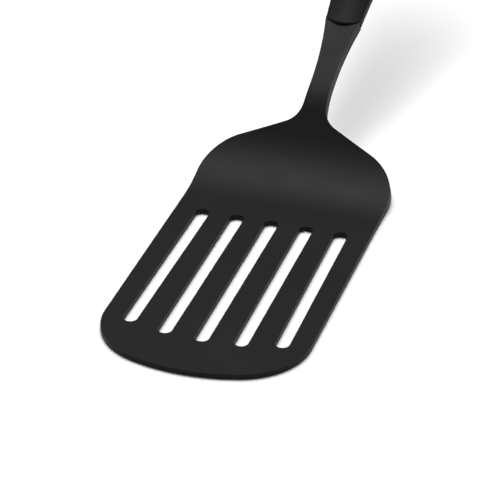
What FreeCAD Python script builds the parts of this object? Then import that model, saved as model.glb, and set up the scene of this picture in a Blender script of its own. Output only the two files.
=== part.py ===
import FreeCAD, Part
import math
import os
import Sketcher

# Slotted grill turner: a nylon head with a tang, held in a two-part handle.
# +X is to the right, +Y runs from the blade to the handle, +Z is up. Millimetres.
# The origin is on the underside of the blade, on the centre line, in the middle of
# the solid land between the slots and the heel, where the blade starts to bend up.

SIZES = {
    # blade
    "blade_thick": 2.2,
    "front_half": 44.1,        # half width where the front corners start
    "heel_half": 41.8,         # half width at the heel
    "heel_run": 3.0,           # straight side just before the heel
    "corner_radius": 30.0,
    "front_radius": 74.5,
    "front_land": 22.5,        # solid land in front of the middle slot
    "heel_land": 12.0,         # solid land between the slots and the heel
    # slots
    "slot_width": 6.0,
    "slot_length": 97.4,       # middle slot
    "slot_pitch": 15.0,        # between slots at the heel end
    "slot_fan": 1.23,          # the pitch grows by this much towards the front
    "slot_step": 1.35,         # a slot n places out is n * n times this shorter
    # bend and shoulder
    "bend_radius": 49.3,       # upper side of the bend
    "shoulder_angle": 45.0,    # slope of the shoulder
    "shoulder_run": 11.2,
    "ease_radius": 37.0,       # upper side, where the slope eases into the neck
    "shoulder_reach": 27.8,    # heel to the corner of side and shoulder, along the neck
    "shoulder_slope": 24.9,    # how far the shoulder falls back, seen square to the neck
    "shoulder_radius": 23.0,
    # neck and tang
    "neck_angle": 25.3,
    "neck_thick": 5.2,
    "neck_half": 4.5,          # half width at the waist
    "waist_reach": 63.3,       # heel to the waist, along the neck
    "waist_run": 28.0,         # waist to the seam with the handle
    "flare_radius": 160.0,
    "root_radius": 10.0,
    "tang_half": 4.2,
    "tang_length": 62.0,
    "edge_round": 0.5,
    # handle
    "handle_length": 140.0,
    "lip_proud": 1.1,          # how far the lip stands above and below the neck
    "lip_side": 0.5,           # how far it stands out beside the neck
    "lip_radius": 10.7,        # round front of the handle, seen from above
    "lip_round": 0.6,
    "tail_round": 0.9,
    "seam_gap": 0.3,
    "tang_gap": 0.15,
    "tang_thick": 3.2,
    "tang_step": 4.0,          # seam to where the tang gets thinner
    "core_half": 5.0,          # hollow behind the tang, in each half
    "core_length": 28.0,
    "core_depth": 3.5,
    "core_wall": 4.0,          # between the tang and the hollow
    "grip_half": 12.0,
    "grip_crown": 9.0,         # upper half at the grip
    "grip_belly": 9.0,         # lower half at the grip
    "grip_reach": 76.0,        # seam to the widest place
    "end_half": 10.5,
    "end_crown": 5.6,
    "side_flat": 1.0,          # upright strip on each side of the parting line
    "section_round": 0.45,     # corner radius as a share of the height of the section
    # grip pads
    "pad_half": 6.5,
    "pad_start": 18.0,
    "pad_length": 94.0,
    "pad_depth": 1.8,
    # hanging hole
    "hang_radius": 4.5,
    "liner_wall": 1.3,
    "liner_half": 5.4,         # half its length
    "liner_flange": 1.1,       # flange beyond the wall, held between the halves
    "flange_thick": 2.4,
    "liner_gap": 0.1,
    # screws
    "screw_radius": 1.5,
    "screw_head": 2.9,
    "head_height": 1.8,
    "screw_bite": 4.3,         # length in the upper half
    "screw_floor": 3.0,        # plastic between the head and the parting face
    "screw_gap": 0.25,
    "thread_gap": 0.05,
    "tip_bevel": 0.6,
    "first_screw": 34.0,       # seam to the first screw
    "screw_spacing": 20.0,
    "rear_screw": 104.0,
    "driver_slot": 0.8,
    "driver_depth": 0.9,
}
SLOT_PLACES = (-2, -1, 0, 1, 2)
FAR = 120.0                    # reaches well past the head on every side


def number(value):
    return value.value if isinstance(value, Size) else float(value)


def text(value):
    return value.text if isinstance(value, Size) else repr(float(value))


class Size:
    # A size: its number, and the sheet expression that it follows.
    def __init__(self, value, words):
        self.value = value
        self.text = words

    def __add__(self, other):
        return Size(self.value + number(other), "(%s + %s)" % (self.text, text(other)))

    def __sub__(self, other):
        return Size(self.value - number(other), "(%s - %s)" % (self.text, text(other)))

    def __mul__(self, other):
        return Size(self.value * number(other), "(%s * %s)" % (self.text, text(other)))

    def __truediv__(self, other):
        return Size(self.value / number(other), "(%s / %s)" % (self.text, text(other)))

    def __neg__(self):
        return Size(-self.value, "(0 - %s)" % self.text)


def size(name):
    return Size(SIZES[name], "Sizes." + name)


def sine(angle):
    return Size(math.sin(math.radians(angle.value)), "sin(%s)" % angle.text)


def cosine(angle):
    return Size(math.cos(math.radians(angle.value)), "cos(%s)" % angle.text)


def makeSheet(doc):
    sheet = doc.addObject("Spreadsheet::Sheet", "Sizes")
    for row, (name, value) in enumerate(SIZES.items(), start=1):
        sheet.set("A%d" % row, name)
        sheet.set("B%d" % row, str(value))
        sheet.setAlias("B%d" % row, name)
    doc.recompute()


class Outline:
    # A closed sketch on one of a body's origin planes, moved along and tilted by sizes.
    def __init__(self, body, name, plane, shift=None, tilt=None):
        self.sketch = body.newObject("Sketcher::SketchObject", name)
        face = [item for item in body.Origin.OriginFeatures if item.Role == plane][0]
        self.sketch.AttachmentSupport = (face, [""])
        self.sketch.MapMode = "FlatFace"
        turn = FreeCAD.Rotation(FreeCAD.Vector(1, 0, 0), number(tilt) if tilt else 0)
        self.sketch.AttachmentOffset = FreeCAD.Placement(FreeCAD.Vector(), turn)
        for axis, distance in (shift or {}).items():
            self.sketch.setExpression("AttachmentOffset.Base." + axis, text(distance))
        if tilt:
            self.sketch.setExpression("AttachmentOffset.Rotation.Angle", text(tilt))
        self.rules = []
        self.bound = []

    def line(self, start, end):
        first = FreeCAD.Vector(number(start[0]), number(start[1]), 0)
        last = FreeCAD.Vector(number(end[0]), number(end[1]), 0)
        return self.sketch.addGeometry(Part.LineSegment(first, last), False)

    def arc(self, centre, radius, first, last):
        # anticlockwise between two angles in degrees
        middle = FreeCAD.Vector(number(centre[0]), number(centre[1]), 0)
        circle = Part.Circle(middle, FreeCAD.Vector(0, 0, 1), number(radius))
        curve = Part.ArcOfCircle(circle, math.radians(number(first)), math.radians(number(last)))
        index = self.sketch.addGeometry(curve, False)
        if isinstance(radius, Size):
            self.bind("Radius", (index, radius.value), radius)
        return index

    def rule(self, kind, *ends):
        self.rules.append(Sketcher.Constraint(kind, *ends))

    def bind(self, kind, ends, value):
        self.bound.append((len(self.rules), text(value)))
        self.rule(kind, *ends)

    def place(self, index, end, x=None, y=None):
        if x is not None:
            self.bind("DistanceX", (index, end, number(x)), x)
        if y is not None:
            self.bind("DistanceY", (index, end, number(y)), y)

    def polygon(self, points):
        # straight sides, every corner placed
        count = len(points)
        edges = [self.line(points[i], points[(i + 1) % count]) for i in range(count)]
        for i, edge in enumerate(edges):
            self.rule("Coincident", edge, 2, edges[(i + 1) % count], 1)
            self.place(edge, 1, *points[i])
        return edges

    def finish(self):
        self.sketch.addConstraint(self.rules)
        for index, words in self.bound:
            self.sketch.setExpression("Constraints[%d]" % index, words)
        self.sketch.Document.recompute()
        return self.sketch


def newBody(doc, name):
    body = doc.addObject("PartDesign::Body", name)
    body.Label = name
    return body


def pad(body, sketch, length, name, both=False, back=False):
    feature = body.newObject("PartDesign::Pad", name)
    feature.Profile = sketch
    feature.SideType = "Symmetric" if both else "One side"
    feature.Reversed = back
    feature.setExpression("Length", text(length))
    body.Document.recompute()
    return feature


def pocket(body, sketch, name, depth=None, back=False):
    # a pocket with no depth goes through everything, both ways
    before = body.Shape.Volume
    feature = body.newObject("PartDesign::Pocket", name)
    feature.Profile = sketch
    if depth is None:
        feature.SideType = "Symmetric"
        feature.setExpression("Length", text(2 * FAR))
    else:
        feature.Reversed = back
        feature.setExpression("Length", text(depth))
    body.Document.recompute()
    if not body.Shape.Volume < before - 0.01:
        raise RuntimeError("pocket cuts nothing: " + name)
    return feature


def roundEdges(body, name, radius, wanted):
    # rounds the edges of the body for which wanted() is true
    base = body.Tip
    edges = ["Edge%d" % i for i, edge in enumerate(base.Shape.Edges, start=1) if wanted(edge)]
    feature = body.newObject("PartDesign::Fillet", name)
    feature.Base = (base, edges)
    feature.setExpression("Radius", text(radius))
    body.Document.recompute()
    return feature


# Places along the turner, each worked out from the sizes above.

def heelPlace():
    return size("heel_land") / 2


def frontPlace():
    return heelPlace() - size("heel_land") - size("slot_length") - size("front_land")


def sideStations():
    # upper side of the head in the plane X = 0: end of the bend, of the shoulder, of the ease
    steep = size("shoulder_angle")
    neck = size("neck_angle")
    bend = size("bend_radius")
    ease = size("ease_radius")
    first = (heelPlace() + bend * sine(steep), size("blade_thick") + bend - bend * cosine(steep))
    run = size("shoulder_run")
    second = (first[0] + run * cosine(steep), first[1] + run * sine(steep))
    third = (second[0] + ease * sine(steep) - ease * sine(neck),
             second[1] + ease * cosine(neck) - ease * cosine(steep))
    return first, second, third


def alongNeck(point):
    # distance from the heel, measured along the slope of the neck
    neck = size("neck_angle")
    rise = point[1] - size("blade_thick")
    return (point[0] - heelPlace()) * cosine(neck) + rise * sine(neck)


def seamReach():
    # heel to the front of the handle, along the neck
    return size("waist_reach") + size("waist_run")


def seamPoint():
    # where the middle of the neck's thickness meets the handle
    neck = size("neck_angle")
    ease = sideStations()[2]
    left = seamReach() - alongNeck(ease)
    half = size("neck_thick") / 2
    return (ease[0] + left * cosine(neck) + half * sine(neck),
            ease[1] + left * sine(neck) - half * cosine(neck))


def setOnHandle(body, along=0.0, up=0.0, turn=0.0):
    # places a body in the handle's frame: Y along the handle, Z square to its parting face
    neck = size("neck_angle")
    seam = seamPoint()
    placeY = seam[0] + cosine(neck) * along - sine(neck) * up
    placeZ = seam[1] + sine(neck) * along + cosine(neck) * up
    angle = neck + turn
    base = FreeCAD.Vector(0, placeY.value, placeZ.value)
    rotation = FreeCAD.Rotation(FreeCAD.Vector(1, 0, 0), angle.value)
    body.Placement = FreeCAD.Placement(base, rotation)
    body.setExpression("Placement.Base.y", text(placeY))
    body.setExpression("Placement.Base.z", text(placeZ))
    body.setExpression("Placement.Rotation.Angle", text(angle))


# Head

def headProfile(body):
    # side view of the whole head: flat blade, bend, shoulder, neck and tang
    outline = Outline(body, "HeadProfile", "YZ_Plane")
    thick = size("blade_thick")
    neckThick = size("neck_thick")
    steep = size("shoulder_angle")
    neck = size("neck_angle")
    bend = size("bend_radius")
    ease = size("ease_radius")
    first, second, third = sideStations()
    reach = seamReach() + size("tang_length") - alongNeck(third)
    last = (third[0] + reach * cosine(neck), third[1] + reach * sine(neck))

    def under(point, angle):
        return (point[0] + neckThick * sine(angle), point[1] - neckThick * cosine(angle))

    underBend = bend + (thick - neckThick * cosine(steep)) / (Size(1.0, "1") - cosine(steep))
    underStart = under(first, steep)[0] - underBend * sine(steep)
    front = frontPlace() - size("heel_land")
    low, high, turned = steep.value, 90 + steep.value, 90 + neck.value
    easeCentre = (second[0] + ease * sine(steep), second[1] - ease * cosine(steep))
    edges = [
        outline.line((front, thick), (heelPlace(), thick)),
        outline.arc((heelPlace(), thick + bend), bend, 270, 270 + low),
        outline.line(first, second),
        outline.arc(easeCentre, ease, turned, high),
        outline.line(third, last),
        outline.line(last, under(last, neck)),
        outline.line(under(last, neck), under(third, neck)),
        outline.arc(easeCentre, (ease - neckThick), turned, high),
        outline.line(under(second, steep), under(first, steep)),
        outline.arc((underStart, underBend), underBend, 270, 270 + low),
        outline.line((underStart, 0), (front, 0)),
        outline.line((front, 0), (front, thick)),
    ]
    # each edge's first and last end, going round the outline
    ends = [(1, 2), (1, 2), (1, 2), (2, 1), (1, 2), (1, 2),
            (1, 2), (1, 2), (1, 2), (2, 1), (1, 2), (1, 2)]
    corners = [(front, thick), (heelPlace(), thick), first, second, third, last, under(last, neck),
               under(third, neck), under(second, steep), under(first, steep), (underStart, 0),
               (front, 0)]
    for i, edge in enumerate(edges):
        following = (i + 1) % len(edges)
        outline.rule("Coincident", edge, ends[i][1], edges[following], ends[following][0])
        outline.place(edge, ends[i][0], *corners[i])
    return outline.finish()


def bladeOutside(body):
    # everything around the blade, ahead of the heel
    outline = Outline(body, "BladeOutside", "XY_Plane")
    half = size("front_half")
    heel = size("heel_half")
    corner = size("corner_radius")
    front = size("front_radius")
    heelY = heelPlace()
    runY = heelY - size("heel_run")
    centreY = frontPlace() + front
    cornerX = half.value - corner.value
    cornerY = centreY.value - math.sqrt((front.value - corner.value) ** 2 - cornerX ** 2)
    lean = math.degrees(math.atan2(cornerY - centreY.value, cornerX)) % 360
    edges = {}
    for side in (1, -1):
        edges["heel", side] = outline.line((heel * side, heelY), (heel * side, runY))
        edges["side", side] = outline.line((heel * side, runY), (half.value * side, cornerY))
        angles = (lean, 359) if side > 0 else (181, 540 - lean)
        edges["corner", side] = outline.arc((cornerX * side, cornerY), corner, *angles)
        outline.place(edges["heel", side], 1, heel * side, heelY)
        outline.place(edges["side", side], 1, heel * side, runY)
        outline.place(edges["side", side], 2, half * side)
        outline.rule("Coincident", edges["heel", side], 2, edges["side", side], 1)
    edges["front"] = outline.arc((0, centreY), front, 540 - lean, lean)
    outline.rule("PointOnObject", edges["front"], 3, -2)
    outline.place(edges["front"], 3, None, centreY)
    outline.rule("Tangent", edges["corner", 1], 2, edges["side", 1], 2)
    outline.rule("Tangent", edges["corner", -1], 1, edges["side", -1], 2)
    outline.rule("Tangent", edges["corner", 1], 1, edges["front"], 2)
    outline.rule("Tangent", edges["corner", -1], 2, edges["front"], 1)
    wide = heel + FAR
    far = frontPlace() - FAR
    rim = [(heel, heelY), (wide, heelY), (wide, far), (-wide, far), (-wide, heelY), (-heel, heelY)]
    around = [outline.line(rim[i], rim[i + 1]) for i in range(5)]
    for i, edge in enumerate(around[1:], start=1):
        outline.rule("Coincident", around[i - 1], 2, edge, 1)
        outline.place(edge, 1, *rim[i])
    outline.rule("Coincident", around[0], 1, edges["heel", 1], 1)
    outline.rule("Coincident", around[4], 2, edges["heel", -1], 1)
    return outline.finish()


def neckOutside(body):
    # everything beside the shoulder, neck and tang, seen square to the neck
    neck = size("neck_angle")
    shift = {"y": heelPlace(), "z": size("blade_thick")}
    outline = Outline(body, "NeckOutside", "XY_Plane", shift, neck)
    heel = size("heel_half")
    slope = size("shoulder_slope")
    corner = size("shoulder_radius")
    root = size("root_radius")
    flare = size("flare_radius")
    waist = size("neck_half")
    tang = size("tang_half")
    start = -size("heel_run") * cosine(neck)
    lipEdge = size("lip_radius") + size("seam_gap")
    lipCentre = seamReach() + size("lip_radius")
    end = seamReach() + size("tang_length") + 5
    wide = heel + FAR
    reach = size("shoulder_reach")
    tangent = math.tan(math.radians(45 - slope.value / 2)) * corner.value
    cornerCentre = (heel.value - corner.value, reach.value - tangent)
    rise = math.tan(math.radians(slope.value))
    fall = 90 - slope.value
    rootX = waist.value + root.value + 0.5
    rootY = (reach.value + (heel.value - rootX) * rise) + root.value / math.cos(math.radians(slope.value))
    seamHalf = waist.value + size("waist_run").value ** 2 / (2 * flare.value)
    lipAngle = math.degrees(math.acos(seamHalf / lipEdge.value))
    tangAngle = math.degrees(math.acos(tang.value / lipEdge.value))
    flareEnd = lipCentre.value - lipEdge.value * math.sin(math.radians(lipAngle))
    tangStart = lipCentre.value - lipEdge.value * math.sin(math.radians(tangAngle))
    for side in (1, -1):
        def at(x, y):
            return (number(x) * side, number(y))

        def curve(x, y, radius, first, last):
            # the angles are those of the right-hand side, and swap on the left
            angles = (first, last) if side > 0 else (180 - last, 180 - first)
            ends = (1, 2) if side > 0 else (2, 1)
            return outline.arc(at(x, y), radius, *angles), ends

        straight = outline.line(at(heel, start), at(heel, cornerCentre[1]))
        bow, bowEnds = curve(*cornerCentre, corner, 0, fall)
        cut = math.radians(fall)
        bowTop = (cornerCentre[0] + corner.value * math.cos(cut),
                  cornerCentre[1] + corner.value * math.sin(cut))
        rootLow = (rootX - root.value * math.cos(cut), rootY - root.value * math.sin(cut))
        shoulder = outline.line(at(*bowTop), at(*rootLow))
        fillet, filletEnds = curve(rootX, rootY, root, 180, 180 + fall)
        waistCentre = (waist.value + flare.value, size("waist_reach").value)
        bottom = math.degrees(math.asin((waistCentre[1] - rootY) / flare.value))
        top = math.degrees(math.asin((flareEnd - waistCentre[1]) / flare.value))
        flank, flankEnds = curve(*waistCentre, flare, 180 - top, 180 + bottom)
        lip, lipEnds = curve(0, lipCentre, lipEdge, 360 - tangAngle, 360 - lipAngle)
        tangSide = outline.line(at(tang, tangStart), at(tang, end))
        back = outline.line(at(tang, end), at(wide, end))
        away = outline.line(at(wide, end), at(wide, start))
        close = outline.line(at(wide, start), at(heel, start))
        outline.place(straight, 1, heel * side, start)
        outline.rule("Vertical", straight)
        outline.rule("Tangent", straight, 2, bow, bowEnds[0])
        outline.rule("Tangent", bow, bowEnds[1], shoulder, 1)
        outline.rule("Tangent", shoulder, 2, fillet, filletEnds[1])
        outline.rule("Tangent", fillet, filletEnds[0], flank, flankEnds[1])
        outline.rule("Coincident", flank, flankEnds[0], lip, lipEnds[1])
        outline.rule("Coincident", lip, lipEnds[0], tangSide, 1)
        outline.rule("Coincident", tangSide, 2, back, 1)
        outline.rule("Coincident", back, 2, away, 1)
        outline.rule("Coincident", away, 2, close, 1)
        outline.rule("Coincident", close, 2, straight, 1)
        # the shoulder's straight side, carried on, meets the side of the blade at shoulder_reach
        angle = Size(180.0, "180") - slope if side > 0 else slope
        outline.bind("Angle", (shoulder, math.radians(angle.value)), angle)
        guide = outline.line(at(heel, reach), at(*bowTop))
        outline.sketch.setConstruction(guide, True)
        outline.place(guide, 1, heel * side, reach)
        outline.rule("Coincident", guide, 2, shoulder, 1)
        outline.rule("Parallel", guide, shoulder)
        outline.place(flank, 3, (waist + flare) * side, size("waist_reach"))
        outline.rule("PointOnObject", lip, 3, -2)
        outline.place(lip, 3, None, lipCentre)
        outline.place(tangSide, 1, tang * side)
        outline.place(tangSide, 2, tang * side, end)
        outline.place(back, 2, wide * side, end)
        outline.place(away, 2, wide * side, start)
    return outline.finish()


def slotShapes(body):
    # five slots with round ends, which spread a little towards the front
    outline = Outline(body, "Slots", "XY_Plane")
    radius = size("slot_width") / 2
    rear = heelPlace() - size("heel_land") - radius
    for place in SLOT_PLACES:
        front = rear + size("slot_width") - size("slot_length") + size("slot_step") * place ** 2
        rearX = size("slot_pitch") * place
        frontX = (size("slot_pitch") + size("slot_fan")) * place
        lean = math.degrees(math.atan2(frontX.value - rearX.value, rear.value - front.value))
        cap = outline.arc((rearX, rear), radius, lean, 180 + lean)
        nose = outline.arc((frontX, front), radius, 180 + lean, 360 + lean)
        across = math.cos(math.radians(lean)) * radius.value
        down = math.sin(math.radians(lean)) * radius.value
        sides = []
        for hand in (1, -1):
            top = (rearX.value + across * hand, rear.value + down * hand)
            bottom = (frontX.value + across * hand, front.value + down * hand)
            sides.append(outline.line(top, bottom))
        outline.rule("Tangent", cap, 1, sides[0], 1)
        outline.rule("Tangent", cap, 2, sides[1], 1)
        outline.rule("Tangent", nose, 2, sides[0], 2)
        outline.rule("Tangent", nose, 1, sides[1], 2)
        outline.place(cap, 3, rearX, rear)
        outline.place(nose, 3, frontX, front)
    return outline.finish()


def tangHoles(body):
    # clearance for the two screws that lock the tang
    neck = size("neck_angle")
    shift = {"y": heelPlace(), "z": size("blade_thick")}
    outline = Outline(body, "TangHoles", "XY_Plane", shift, neck)
    for along in (size("first_screw"), size("first_screw") + size("screw_spacing")):
        hole = circle(outline, 0, seamReach() + along, size("screw_radius") + size("screw_gap"))
        outline.rule("PointOnObject", hole, 3, -2)
        outline.place(hole, 3, None, seamReach() + along)
    return outline.finish()


def tangStep(body, name, side):
    # the tang is thinner than the neck: a square shoulder above and below, inside the handle
    neck = size("neck_angle")
    seam = seamPoint()
    middle = (seam[1] - size("blade_thick")) * cosine(neck) - (seam[0] - heelPlace()) * sine(neck)
    up = middle + size("tang_thick") / 2 * side
    shift = {"y": heelPlace() - sine(neck) * up, "z": size("blade_thick") + cosine(neck) * up}
    outline = Outline(body, name, "XY_Plane", shift, neck)
    half = size("tang_half") + 2
    start = seamReach() + size("tang_step")
    end = seamReach() + size("tang_length") + 2
    outline.polygon([(-half, start), (half, start), (half, end), (-half, end)])
    return outline.finish()


def circle(outline, x, y, radius):
    middle = FreeCAD.Vector(number(x), number(y), 0)
    shape = Part.Circle(middle, FreeCAD.Vector(0, 0, 1), number(radius))
    index = outline.sketch.addGeometry(shape, False)
    outline.bind("Radius", (index, radius.value), radius)
    return index


def makeHead(doc):
    body = newBody(doc, "turner_head")
    pad(body, headProfile(body), (size("front_half") + 10) * 2, "Sheet", both=True)
    pocket(body, bladeOutside(body), "BladeTrim")
    pocket(body, neckOutside(body), "NeckTrim")
    pocket(body, slotShapes(body), "SlotCuts")
    pocket(body, tangHoles(body), "TangHoleCuts")
    for name, side in (("TangTop", 1), ("TangUnderside", -1)):
        pocket(body, tangStep(body, name, side), name + "Cut", size("neck_thick"), side > 0)
    return body


# Handle

def handleStations(lower):
    # along the seam, half width and height above (or below) the parting face
    start = size("neck_thick") / 2 + size("lip_proud")
    seamHalf = size("neck_half") + size("waist_run") * size("waist_run") / (size("flare_radius") * 2)
    frontHalf = seamHalf + size("lip_side")
    grip = size("grip_half")
    height = size("grip_belly") if lower else size("grip_crown")
    reach = size("grip_reach")
    rear = size("handle_length")
    return [
        (Size(-3.0, "-3"), frontHalf, start),
        (reach * 0.34, frontHalf + (grip - frontHalf) * 0.42, start + (height - start) * 0.48),
        (reach, grip, height),
        (reach + (rear - reach) * 0.55, grip - (grip - size("end_half")) * 0.45,
         height - (height - size("end_crown")) * 0.45),
        (rear + 1.0, size("end_half"), size("end_crown")),
    ]


def handleSection(body, name, station, half, height):
    # half of a rounded section, flat along the parting face
    outline = Outline(body, name, "XZ_Plane", {"z": -station})
    flat = size("side_flat")
    corner = height * size("section_round")
    over = height.value - flat.value
    inner = half.value - corner.value
    crown = (inner ** 2 + over ** 2 - corner.value ** 2) / (2 * (over - corner.value))
    crownY = height.value - crown
    lean = math.degrees(math.atan2(flat.value - crownY, inner))
    base = outline.line((-half, 0), (half, 0))
    outline.place(base, 1, -half, Size(0.0, "0"))
    outline.place(base, 2, half, Size(0.0, "0"))
    sides = {}
    for hand in (1, -1):
        start = 1 if hand > 0 else 2
        end = 3 - start
        side = outline.line((half * hand, 0), (half * hand, flat))
        angles = (0, lean) if hand > 0 else (180 - lean, 180)
        bow = outline.arc((inner * hand, flat), corner, *angles)
        angles = (lean, 90) if hand > 0 else (90, 180 - lean)
        top = outline.arc((0, crownY), crown, *angles)
        outline.rule("Coincident", base, 2 if hand > 0 else 1, side, 1)
        outline.place(side, 2, half * hand, flat)
        outline.rule("Tangent", side, 2, bow, start)
        outline.rule("Tangent", bow, end, top, start)
        outline.rule("PointOnObject", top, 3, -2)
        sides[hand] = (top, end)
    outline.rule("Coincident", sides[1][0], sides[1][1], sides[-1][0], sides[-1][1])
    outline.rule("PointOnObject", sides[1][0], sides[1][1], -2)
    outline.place(sides[1][0], sides[1][1], None, height)
    return outline.finish()


def handleEnds(body):
    # what the round lip at the front and the round end at the rear leave outside
    outline = Outline(body, "HandleEnds", "XY_Plane")
    wide = size("grip_half") + 6
    for radius, edge, outside in (
        (size("lip_radius"), Size(0.0, "0"), -1),
        (size("end_half") + 0.2, size("handle_length"), 1),
    ):
        centre = edge - radius * outside
        far = edge + Size(5.0, "5") * outside
        half = frontHalf() if outside < 0 else radius
        lean = math.degrees(math.acos(min(1.0, half.value / radius.value)))
        angles = (180 + lean, 360 - lean) if outside < 0 else (lean, 180 - lean)
        bow = outline.arc((0, centre), radius, *angles)
        shoulder = centre.value + radius.value * math.sin(math.radians(lean)) * outside
        right, left = (2, 1) if outside < 0 else (1, 2)
        first = outline.line((half, shoulder), (wide, shoulder))
        second = outline.line((wide, shoulder), (wide, far))
        third = outline.line((wide, far), (-wide, far))
        fourth = outline.line((-wide, far), (-wide, shoulder))
        fifth = outline.line((-wide, shoulder), (-half, shoulder))
        outline.rule("PointOnObject", bow, 3, -2)
        outline.place(bow, 3, None, centre)
        outline.rule("Coincident", bow, right, first, 1)
        if outside < 0:
            outline.place(first, 1, half)
        else:
            outline.place(first, 1, None, centre)
        outline.rule("Horizontal", first)
        for near, following in ((first, second), (second, third), (third, fourth), (fourth, fifth)):
            outline.rule("Coincident", near, 2, following, 1)
        outline.rule("Coincident", fifth, 2, bow, left)
        outline.rule("Horizontal", fifth)
        if outside < 0:
            outline.place(fifth, 2, -half)
        else:
            outline.place(fifth, 2, None, centre)
        outline.rule("Vertical", second)
        outline.rule("Vertical", fourth)
        outline.place(third, 1, wide, far)
        outline.place(third, 2, -wide, far)
    return outline.finish()


def frontHalf():
    return handleStations(False)[0][1]


def handleBlank(doc, name, lower):
    # a half handle with nothing cut out of it but its ends
    body = newBody(doc, name)
    stations = handleStations(lower)
    sections = [handleSection(body, "Section%d" % i, *station) for i, station in enumerate(stations)]
    loft = body.newObject("PartDesign::AdditiveLoft", "Skin")
    loft.Profile = sections[0]
    loft.Sections = sections[1:]
    doc.recompute()
    pocket(body, handleEnds(body), "EndTrim")

    def onEnd(edge, radius, centre):
        # true for an edge that a round end shares with the outer skin
        if edge.Length < 0.05 or edge.BoundBox.ZMax < 0.01:
            return False
        first, last = edge.ParameterRange
        points = [edge.valueAt(first + (last - first) * share / 6) for share in range(7)]
        return all(abs(math.hypot(p.x, p.y - centre) - radius) < 0.02 for p in points)

    lip = SIZES["lip_radius"]
    roundEdges(body, "LipRound", size("lip_round"), lambda edge: onEnd(edge, lip, lip))
    tail = SIZES["end_half"] + 0.2
    tailCentre = SIZES["handle_length"] - tail
    roundEdges(body, "TailRound", size("tail_round"), lambda edge: onEnd(edge, tail, tailCentre))
    return body


def rectangle(body, name, half, start, end):
    outline = Outline(body, name, "XY_Plane")
    outline.polygon([(-half, start), (half, start), (half, end), (-half, end)])
    return outline.finish()


def disc(body, name, along, radius, up=None):
    # a circle on the centre line, at a height above the parting face
    outline = Outline(body, name, "XY_Plane", {"z": up} if up else None)
    index = circle(outline, 0, along, radius)
    outline.rule("PointOnObject", index, 3, -2)
    outline.place(index, 3, None, along)
    return outline.finish()


def screwPlaces():
    first = size("first_screw")
    return {
        "handle_screw_front": first,
        "handle_screw_middle": first + size("screw_spacing"),
        "handle_screw_rear": size("rear_screw"),
    }


def hangPlace():
    return size("handle_length") - size("end_half") - 0.2


def cutInside(body, lower):
    # room for the tang, a hollow behind it, the liner and the screws
    tang = size("tang_length")
    half = size("tang_half") + size("tang_gap")
    neckRoom = size("neck_thick") / 2 + size("tang_gap")
    tangRoom = size("tang_thick") / 2 + size("tang_gap")
    step = size("tang_step") + size("tang_gap")
    start = Size(-5.0, "-5")
    pocket(body, rectangle(body, "MouthOutline", half, start, step), "Mouth", neckRoom, True)
    pocket(body, rectangle(body, "TangOutline", half, start, tang + 1), "TangRoom", tangRoom, True)
    coreStart = tang + size("core_wall")
    core = rectangle(body, "CoreOutline", size("core_half"), coreStart, coreStart + size("core_length"))
    pocket(body, core, "Core", size("core_depth"), True)
    outer = size("hang_radius") + size("liner_wall") + size("liner_gap")
    pocket(body, disc(body, "HangOutline", hangPlace(), outer), "HangHole")
    flange = outer + size("liner_flange")
    flangeRoom = size("flange_thick") / 2 + size("liner_gap")
    pocket(body, disc(body, "FlangeOutline", hangPlace(), flange), "FlangeRoom", flangeRoom, True)
    for name, along in screwPlaces().items():
        if lower:
            hole = size("screw_radius") + size("screw_gap")
            pocket(body, disc(body, name + "_hole", along, hole), name + "Hole")
            head = size("screw_head") + size("screw_gap")
            seat = disc(body, name + "_seat", along, head, size("screw_floor"))
            pocket(body, seat, name + "Seat", size("grip_belly"), True)
        else:
            hole = disc(body, name + "_hole", along, size("screw_radius") + size("thread_gap"))
            pocket(body, hole, name + "Hole", size("screw_bite") + 0.3, True)


def padRoom(doc, name, lower):
    # the space of a grip pad: a long shape with round ends, above a floor that follows the skin
    body = newBody(doc, name)
    outline = Outline(body, "PadOutline", "XY_Plane")
    half = size("pad_half")
    start = size("pad_start") + half
    end = size("pad_start") + size("pad_length") - half
    front = outline.arc((0, start), half, 180, 360)
    rear = outline.arc((0, end), half, 0, 180)
    right = outline.line((half, start), (half, end))
    left = outline.line((-half, start), (-half, end))
    outline.rule("Tangent", front, 2, right, 1)
    outline.rule("Tangent", front, 1, left, 1)
    outline.rule("Tangent", rear, 1, right, 2)
    outline.rule("Tangent", rear, 2, left, 2)
    for index, along in ((front, start), (rear, end)):
        outline.rule("PointOnObject", index, 3, -2)
        outline.place(index, 3, None, along)
    pad(body, outline.finish(), size("grip_belly") * 3, "PadBlock")
    stations = handleStations(lower)
    under = Outline(body, "PadFloor", "YZ_Plane")
    floor = [(station, height - size("pad_depth")) for station, _, height in stations[1:4]]
    ahead = (stations[0][0], stations[0][2] - size("pad_depth"))
    behind = (stations[4][0], stations[4][2] - size("pad_depth"))
    below = Size(-2.0, "-2")
    under.polygon([ahead] + floor + [behind, (behind[0], below), (ahead[0], below)])
    pocket(body, under.finish(), "PadFloorCut")
    return body


def boolean(doc, kind, name, base, tool):
    result = doc.addObject(kind, name)
    result.Label = name
    result.Base = base
    result.Tool = tool
    doc.recompute()
    return result


def flip(doc, source, name):
    result = doc.addObject("Part::Mirroring", name)
    result.Label = name
    result.Source = source
    result.Normal = FreeCAD.Vector(0, 0, 1)
    doc.recompute()
    return result


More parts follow.
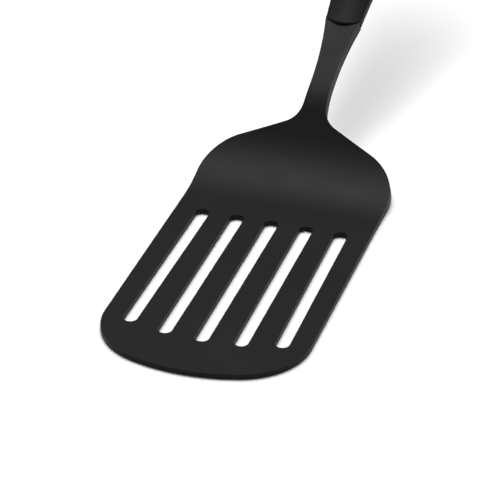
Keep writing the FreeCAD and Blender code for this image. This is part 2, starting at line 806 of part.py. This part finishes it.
def makeHandle(doc):
    pieces = []
    for side, lower in (("upper", False), ("lower", True)):
        blank = handleBlank(doc, "blank_" + side, lower)
        room = padRoom(doc, "pad_room_" + side, lower)
        gripPad = boolean(doc, "Part::Common", "pad_" + side, blank, room)
        body = handleBlank(doc, "body_" + side, lower)
        cutInside(body, lower)
        shell = boolean(doc, "Part::Cut", "shell_" + side, body, room)
        if lower:
            shell = flip(doc, shell, "handle_lower")
            gripPad = flip(doc, gripPad, "grip_pad_lower")
        shell.Label = "handle_" + side
        gripPad.Label = "grip_pad_" + side
        for piece in (shell, gripPad):
            setOnHandle(piece)
            pieces.append(piece)
    return pieces


def makeScrew(doc, name, along):
    body = newBody(doc, name)
    bottom = -(size("screw_floor") + size("head_height"))
    start = Size(0.0, "0")
    pad(body, disc(body, "HeadOutline", start, size("screw_head"), bottom), size("head_height"), "Head")
    shank = disc(body, "ShankOutline", start, size("screw_radius"), -size("screw_floor"))
    pad(body, shank, size("screw_floor") + size("screw_bite"), "Shank")
    slot = Outline(body, "DriverOutline", "XY_Plane", {"z": bottom})
    long = size("screw_head") + 1
    wide = size("driver_slot") / 2
    slot.polygon([(-long, -wide), (long, -wide), (long, wide), (-long, wide)])
    pocket(body, slot.finish(), "DriverSlot", size("driver_depth"), True)
    tip = [i for i, edge in enumerate(body.Shape.Edges, start=1)
           if edge.BoundBox.ZMin > SIZES["screw_bite"] - 0.01]
    shank = body.Tip
    bevel = body.newObject("PartDesign::Chamfer", "Tip")
    bevel.Base = (shank, ["Edge%d" % i for i in tip])
    bevel.setExpression("Size", text(size("tip_bevel")))
    setOnHandle(body, along)
    doc.recompute()
    return body


def makeLiner(doc):
    body = newBody(doc, "hang_liner")
    inner = size("hang_radius")
    outer = inner + size("liner_wall")
    start = Size(0.0, "0")
    pad(body, disc(body, "TubeOutline", start, outer), size("liner_half") * 2, "Tube", both=True)
    flange = disc(body, "FlangeOutline", start, outer + size("liner_flange"))
    pad(body, flange, size("flange_thick"), "Flange", both=True)
    pocket(body, disc(body, "BoreOutline", start, inner), "Bore")
    setOnHandle(body, hangPlace())
    doc.recompute()
    return body


def check(doc, pieces):
    for item in doc.Objects:
        if "Invalid" in item.State or "Error" in item.State:
            raise RuntimeError("failed: " + item.Name)
    for piece in pieces:
        shape = piece.Shape
        if shape.isNull() or not shape.isValid():
            raise RuntimeError("bad shape: " + piece.Label)
        print("%-22s %d solid  %9.1f mm3" % (piece.Label, len(shape.Solids), shape.Volume))


def main():
    doc = FreeCAD.newDocument("GrillTurner")
    makeSheet(doc)
    pieces = [makeHead(doc)]
    pieces += makeHandle(doc)
    pieces += [makeScrew(doc, name, along) for name, along in screwPlaces().items()]
    pieces.append(makeLiner(doc))
    doc.recompute()
    check(doc, pieces)
    os.makedirs("parts", exist_ok=True)
    for piece in pieces:
        piece.Shape.exportStep("parts/" + piece.Label + ".step")


main()
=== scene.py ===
import math
import bpy
import bmesh
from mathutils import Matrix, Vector


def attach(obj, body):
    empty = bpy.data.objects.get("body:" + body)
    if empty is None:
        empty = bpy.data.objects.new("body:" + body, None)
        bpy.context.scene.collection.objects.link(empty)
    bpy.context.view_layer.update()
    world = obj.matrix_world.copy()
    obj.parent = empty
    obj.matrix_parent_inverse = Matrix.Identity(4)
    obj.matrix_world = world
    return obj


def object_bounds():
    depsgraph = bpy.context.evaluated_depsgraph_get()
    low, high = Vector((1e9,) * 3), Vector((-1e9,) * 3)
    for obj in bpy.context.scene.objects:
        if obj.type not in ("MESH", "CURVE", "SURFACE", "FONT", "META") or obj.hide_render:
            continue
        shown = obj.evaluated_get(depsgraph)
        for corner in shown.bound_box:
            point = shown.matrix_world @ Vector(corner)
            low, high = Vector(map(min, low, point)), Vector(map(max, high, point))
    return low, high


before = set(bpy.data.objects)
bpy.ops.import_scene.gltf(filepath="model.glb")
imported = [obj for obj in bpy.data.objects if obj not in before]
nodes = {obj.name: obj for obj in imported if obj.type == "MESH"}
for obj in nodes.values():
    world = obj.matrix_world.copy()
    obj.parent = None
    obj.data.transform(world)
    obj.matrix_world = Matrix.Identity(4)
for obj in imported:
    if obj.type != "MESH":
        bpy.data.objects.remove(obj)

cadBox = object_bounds()
print("frame loaded:", len(nodes), "nodes")

headFinish = {
    "colour": (0.0085, 0.0085, 0.0088, 1),
    "roughness": 0.46,
    "specular": 0.09,
    "grain": 5200,
    "grainDepth": 0.0000035,
}
handleFinish = {
    "colour": (0.0082, 0.0082, 0.0085, 1),
    "roughness": 0.5,
    "specular": 0.09,
    "grain": 4200,
    "grainDepth": 0.000005,
}
rubberFinish = {
    "colour": (0.0100, 0.0100, 0.0104, 1),
    "roughness": 0.78,
    "specular": 0.25,
    "grain": 2600,
    "grainDepth": 0.000008,
}
linerFinish = {
    "colour": (0.0110, 0.0110, 0.0112, 1),
    "roughness": 0.25,
    "specular": 0.45,
    "grain": 3800,
    "grainDepth": 0.000001,
}
screwFinish = {
    "colour": (0.56, 0.56, 0.57, 1),
    "roughness": 0.32,
    "specular": 0.5,
    "grain": 900,
    "grainDepth": 0.000004,
}
moulding = {
    "darkest": 0.88,  # shares of the finish's colour
    "lightest": 1.12,
    "shadeStart": 0.3,
    "shadeEnd": 0.7,
    "cloudScale": 38,
    "cloudDetail": 4,
    "grainDetail": 2,
    "grainStrength": 0.6,
    "scuffScale": 110,
    "scuffDetail": 6,
    "smoother": 0.05,  # how far the roughness goes below and above the finish's own
    "rougher": 0.07,
}


def mouldedPlastic(name, finish, metal=0.0):
    material = bpy.data.materials.new(name)
    material.use_nodes = True
    tree = material.node_tree
    shader = tree.nodes["Principled BSDF"]
    shader.inputs["Metallic"].default_value = metal
    shader.inputs["Specular IOR Level"].default_value = finish["specular"]
    place = tree.nodes.new("ShaderNodeTexCoord")
    cloud = tree.nodes.new("ShaderNodeTexNoise")  # slow change of shade in the moulding
    cloud.inputs["Scale"].default_value = moulding["cloudScale"]
    cloud.inputs["Detail"].default_value = moulding["cloudDetail"]
    shade = tree.nodes.new("ShaderNodeValToRGB")
    dark = [part * moulding["darkest"] for part in finish["colour"][:3]] + [1]
    light = [part * moulding["lightest"] for part in finish["colour"][:3]] + [1]
    shade.color_ramp.elements[0].position = moulding["shadeStart"]
    shade.color_ramp.elements[0].color = dark
    shade.color_ramp.elements[1].position = moulding["shadeEnd"]
    shade.color_ramp.elements[1].color = light
    grain = tree.nodes.new("ShaderNodeTexNoise")  # fine grain of the surface
    grain.inputs["Scale"].default_value = finish["grain"]
    grain.inputs["Detail"].default_value = moulding["grainDetail"]
    scuff = tree.nodes.new("ShaderNodeTexNoise")  # patches a little smoother or rougher
    scuff.inputs["Scale"].default_value = moulding["scuffScale"]
    scuff.inputs["Detail"].default_value = moulding["scuffDetail"]
    gloss = tree.nodes.new("ShaderNodeMapRange")
    gloss.inputs["To Min"].default_value = finish["roughness"] - moulding["smoother"]
    gloss.inputs["To Max"].default_value = finish["roughness"] + moulding["rougher"]
    bump = tree.nodes.new("ShaderNodeBump")
    bump.inputs["Distance"].default_value = finish["grainDepth"]
    bump.inputs["Strength"].default_value = moulding["grainStrength"]
    for texture in (cloud, grain, scuff):
        tree.links.new(place.outputs["Object"], texture.inputs["Vector"])
    tree.links.new(cloud.outputs["Fac"], shade.inputs["Fac"])
    tree.links.new(shade.outputs["Color"], shader.inputs["Base Color"])
    tree.links.new(scuff.outputs["Fac"], gloss.inputs["Value"])
    tree.links.new(gloss.outputs["Result"], shader.inputs["Roughness"])
    tree.links.new(grain.outputs["Fac"], bump.inputs["Height"])
    tree.links.new(bump.outputs["Normal"], shader.inputs["Normal"])
    return material


headNylon = mouldedPlastic("headNylon", headFinish)
handlePlastic = mouldedPlastic("handlePlastic", handleFinish)
gripRubber = mouldedPlastic("gripRubber", rubberFinish)
linerPlastic = mouldedPlastic("linerPlastic", linerFinish)
screwSteel = mouldedPlastic("screwSteel", screwFinish, 1.0)

finishOf = {
    "turner_head": headNylon,
    "handle_upper": handlePlastic,
    "handle_lower": handlePlastic,
    "grip_pad_upper": gripRubber,
    "grip_pad_lower": gripRubber,
    "handle_screw_front": screwSteel,
    "handle_screw_middle": screwSteel,
    "handle_screw_rear": screwSteel,
    "hang_liner": linerPlastic,
}
for name, material in finishOf.items():
    mesh = nodes[name].data
    if not mesh.materials:
        mesh.materials.append(material)
    for index in range(len(mesh.materials)):
        mesh.materials[index] = material
print("materials assigned")

# low rounded bars moulded across each soft pad, in metres
gripRibs = {
    "count": 15,
    "pitch": 0.0054,
    "firstRib": 0.027,  # from the seam, along the handle
    "halfLength": 0.0046,
    "radius": 0.00075,
    "proud": 0.00034,  # how far the crown stands above the pad
    "rings": 18,
    "sides": 10,
    "endPower": 6,  # a higher power makes blunter ends
    "ringDrop": 0.0000001,  # each ring sits this much lower than the one before
}
handle = {
    "slope": math.radians(25.3),
    "seamY": 0.087903,
    "seamZ": 0.042572,
    "probe": 0.02,  # rays start this far from the handle's middle
}


def makeRib(name, padName, along, lower):
    shape = bmesh.new()
    rings = gripRibs["rings"]
    sides = gripRibs["sides"]
    loops = []
    for i in range(rings + 1):
        share = -1 + 2 * i / rings
        x = share * gripRibs["halfLength"]
        thin = math.sqrt(max(0.0, 1 - abs(share) ** gripRibs["endPower"]))
        loop = []
        for j in range(sides):
            angle = 2 * math.pi * j / sides
            y = math.cos(angle) * gripRibs["radius"] * thin
            z = math.sin(angle) * gripRibs["radius"] * thin
            loop.append(shape.verts.new((x, y, z - gripRibs["ringDrop"] * i)))
        loops.append(loop)
    for first, second in zip(loops, loops[1:]):
        for j in range(sides):
            k = (j + 1) % sides
            shape.faces.new((first[j], first[k], second[k], second[j]))
    shape.faces.new(list(reversed(loops[0])))
    shape.faces.new(loops[-1])
    bmesh.ops.recalc_face_normals(shape, faces=shape.faces)
    for face in shape.faces:
        face.smooth = True
    mesh = bpy.data.meshes.new(name)
    shape.to_mesh(mesh)
    shape.free()
    mesh.materials.append(gripRubber)
    heightAt = ribHeight(padName, along, lower)
    for vertex in mesh.vertices:
        middle = heightAt(vertex.co.x)
        vertex.co = toRow(vertex.co.x, along + vertex.co.y, vertex.co.z + middle)
    piece = bpy.data.objects.new(name, mesh)
    bpy.context.scene.collection.objects.link(piece)
    return piece


def toRow(x, along, up):
    # from the handle's own frame at the seam to the whole object's frame
    cosine = math.cos(handle["slope"])
    sine = math.sin(handle["slope"])
    y = handle["seamY"] + along * cosine - up * sine
    z = handle["seamZ"] + along * sine + up * cosine
    return Vector((x, y, z))


def ribHeight(padName, along, lower):
    # height of a rib's middle at each place across the pad, by a ray straight into the pad
    hand = -1 if lower else 1
    target = nodes[padName]

    def heightAt(x):
        start = toRow(x, along, handle["probe"] * hand)
        end = toRow(x, along, 0)
        hit, place = target.ray_cast(start, (end - start).normalized())[:2]
        reach = (place - start).length if hit else handle["probe"]
        return hand * (handle["probe"] - reach + gripRibs["proud"] - gripRibs["radius"])

    return heightAt


for lower, padName in ((False, "grip_pad_upper"), (True, "grip_pad_lower")):
    side = "Under" if lower else "Top"
    for i in range(gripRibs["count"]):
        along = gripRibs["firstRib"] + gripRibs["pitch"] * i
        rib = makeRib("gripRib%s%02d" % (side, i), padName, along, lower)
        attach(rib, "root")
print("grip ribs made")

stage = {
    "floorSize": 8.0,
    "floorGap": 0.0004,  # the floor lies this far below the object
    "floorColour": (0.9, 0.9, 0.9, 1),
    "floorRoughness": 0.9,
    "lampPower": 15.0,
    "world": 0.25,
}
lamps = {
    "softTop": {"place": (-0.2, 0.45, 1.8), "size": 1.4, "share": 2.4},
    "softLeft": {"place": (-1.4, 0.7, 1.3), "size": 1.0, "share": 0.35},
    "softRight": {"place": (1.4, 0.4, 1.2), "size": 1.0, "share": 0.35},
}


def makeFloor():
    half = stage["floorSize"] / 2
    corners = [(-half, -half, 0), (half, -half, 0), (half, half, 0), (-half, half, 0)]
    mesh = bpy.data.meshes.new("floor")
    mesh.from_pydata(corners, [], [(0, 1, 2, 3)])
    floor = bpy.data.objects.new("floor", mesh)
    floor.location.z = cadBox[0][2] - stage["floorGap"]
    bpy.context.scene.collection.objects.link(floor)
    material = bpy.data.materials.new("paleFloor")
    material.use_nodes = True
    shader = material.node_tree.nodes["Principled BSDF"]
    shader.inputs["Base Color"].default_value = stage["floorColour"]
    shader.inputs["Roughness"].default_value = stage["floorRoughness"]
    mesh.materials.append(material)
    return floor


def makeLamp(name, place, size, power):
    lamp = bpy.data.lights.new(name, "AREA")
    lamp.shape = "DISK"
    lamp.size = size
    lamp.energy = power
    holder = bpy.data.objects.new(name, lamp)
    holder.location = place
    holder.rotation_euler = (Vector((0, 0, 0)) - Vector(place)).to_track_quat("-Z", "Y").to_euler()
    bpy.context.scene.collection.objects.link(holder)


makeFloor()
for name, lamp in lamps.items():
    makeLamp(name, lamp["place"], lamp["size"], stage["lampPower"] * lamp["share"])
world = bpy.data.worlds.new("studio")
world.use_nodes = True
background = world.node_tree.nodes["Background"]
background.inputs["Color"].default_value = (1, 1, 1, 1)
background.inputs["Strength"].default_value = stage["world"]
bpy.context.scene.world = world

view = {
    "azimuth": 17.963,  # degrees
    "elevation": 31.887,
    "distance": 3.0718,
    "aim": (-0.002175, -0.0308, 0.0022),
    "lens": 536.9,  # millimetres, as is the sensor
    "sensor": 36,
    "clipStart": 0.1,
}
lens = bpy.data.cameras.new("camera")
lens.lens = view["lens"]
lens.sensor_width = view["sensor"]
lens.clip_start = view["clipStart"]
camera = bpy.data.objects.new("camera", lens)
around = math.radians(view["azimuth"])
upward = math.radians(view["elevation"])
back = Vector((math.sin(around) * math.cos(upward), -math.cos(around) * math.cos(upward), math.sin(upward)))
camera.location = Vector(view["aim"]) + back * view["distance"]
camera.rotation_euler = (math.pi / 2 - upward, 0, around)
bpy.context.scene.collection.objects.link(camera)
bpy.context.scene.camera = camera
bpy.context.scene.view_settings.view_transform = "Standard"
print("stage and camera set")
